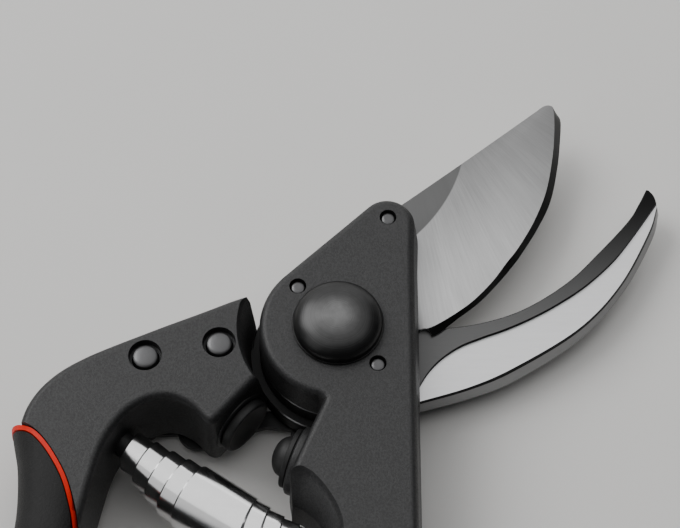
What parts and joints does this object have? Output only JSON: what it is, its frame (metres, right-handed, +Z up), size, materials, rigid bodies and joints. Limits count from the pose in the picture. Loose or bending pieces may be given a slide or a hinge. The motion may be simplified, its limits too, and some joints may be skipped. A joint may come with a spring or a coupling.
{
  "type": "bypass pruner",
  "caption": "Bypass pruner with a bevelled cutting blade, a hooked anvil blade, gripped handles, a volute spring and a thumb catch.",
  "frame": {"origin": "centre of the flat end of the pivot bolt, on the pivot axis, which is the plane that the pruner rests on", "axes": "+Y along the blade side towards the blade's tip, +X towards the hooked anvil blade, +Z up through the pivot to its domed head"},
  "size_m": [0.1501, 0.2107, 0.0271],
  "materials": {
    "handle_coat": "charcoal textured powder coat",
    "ground_steel": "ground, satin",
    "forged_steel": "forged and ground",
    "black_steel": "blackened, satin",
    "pin_steel": "blackened",
    "bearing_bronze": "plain",
    "spring_chrome": "polished",
    "grip_rubber": "fine grained",
    "black_rubber": "matt",
    "accent_red": "satin"
  },
  "bodies": {
    "blade_side": {"blade_handle": "handle_coat", "cutting_blade": "ground_steel", "blade_pin_1": "pin_steel", "blade_pin_2": "pin_steel", "blade_pin_3": "pin_steel", "pivot_bush": "bearing_bronze", "catch_stud": "pin_steel", "shock_absorber": "black_rubber", "blade_grip": "grip_rubber", "blade_grip_trim": "accent_red", "return_spring": "spring_chrome"},
    "anvil_side": {"anvil_handle": "handle_coat", "anvil_blade": "forged_steel", "anvil_rivet_1": "pin_steel", "anvil_rivet_2": "pin_steel", "cushion": "black_rubber", "anvil_grip": "grip_rubber", "anvil_grip_trim": "accent_red", "pivot_bolt": "black_steel", "pivot_nut": "black_steel", "lock_segment": "black_steel", "segment_screw": "pin_steel", "catch_screw": "pin_steel", "catch_washer": "pin_steel"},
    "catch": {"thumb_catch": "black_steel", "catch_pad": "black_rubber"}
  },
  "joints": [
    {"name": "pivot", "type": "hinge", "parent": "blade_side", "child": "anvil_side", "pos_m": [0, 0, 0.012], "axis": [0, 0, 1], "range_deg": [0, 22.5], "stiffness_Nm_per_rad": 1.4, "springref_deg": -18.33, "deforming": ["return_spring", "shock_absorber"]},
    {"name": "catch_turn", "type": "hinge", "parent": "anvil_side", "child": "catch", "pos_m": [-0.0275, -0.014, 0.003], "axis": [0, 0, -1], "range_deg": [0, 28]}
  ]
}
